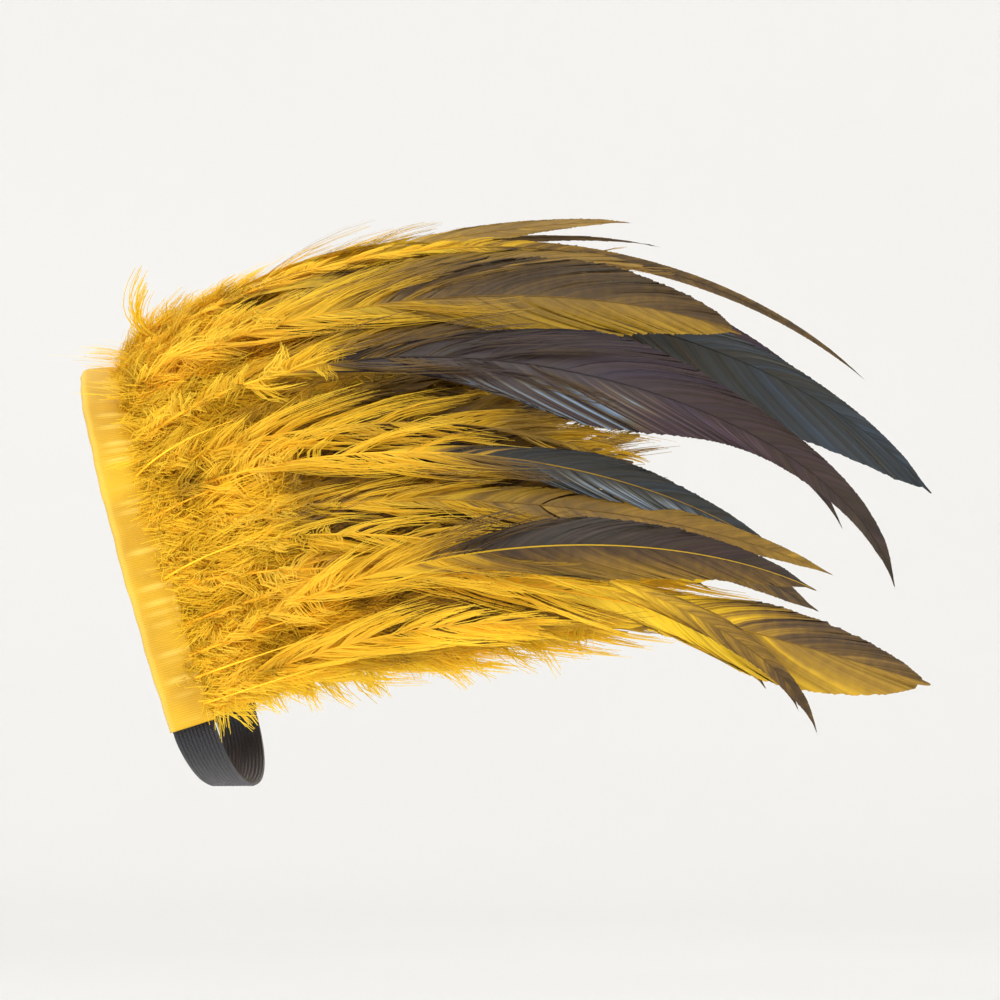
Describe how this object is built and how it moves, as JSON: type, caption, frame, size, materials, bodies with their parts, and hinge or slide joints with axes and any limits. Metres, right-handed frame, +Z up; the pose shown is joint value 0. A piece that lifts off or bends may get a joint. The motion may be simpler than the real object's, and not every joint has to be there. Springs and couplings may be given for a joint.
{
  "type": "feather epaulette",
  "caption": "Shoulder epaulette: a folded satin tape over the shoulder holds a fringe of dyed golden down and long dark-tipped tail feathers, with an elastic strap under the arm.",
  "frame": {"origin": "on top of the shoulder, under the middle of the tape's crest", "axes": "+X out over the arm, the way the feathers point, +Y to the wearer's back, +Z up"},
  "size_m": [0.2292, 0.1936, 0.1539],
  "materials": {
    "satin_tape": "folded yellow satin ribbon with a soft sheen",
    "elastic": "black woven elastic, ribbed along its length",
    "down_feather": "golden dyed down and silky short feathers, matt",
    "tail_feather": "olive to purple-black rooster feathers with a silky iridescent sheen"
  },
  "bodies": {
    "root": {"header_tape": "satin_tape", "elastic_strap": "elastic", "front_feather_row": "down_feather", "crown_feather_row": "down_feather", "back_feather_row": "down_feather", "tail_feather_01": "tail_feather", "tail_feather_02": "tail_feather", "tail_feather_03": "tail_feather", "tail_feather_04": "tail_feather", "tail_feather_05": "tail_feather", "tail_feather_06": "tail_feather", "tail_feather_07": "tail_feather", "tail_feather_08": "tail_feather", "tail_feather_09": "tail_feather", "tail_feather_10": "tail_feather", "tail_feather_11": "tail_feather", "tail_feather_12": "tail_feather", "tail_feather_13": "tail_feather", "tail_feather_14": "tail_feather", "tail_feather_15": "tail_feather", "tail_feather_16": "tail_feather", "tail_feather_17": "tail_feather", "tail_feather_18": "tail_feather", "tail_feather_19": "tail_feather", "tail_feather_20": "tail_feather", "tail_feather_21": "tail_feather", "tail_feather_22": "tail_feather"}
  },
  "joints": []
}
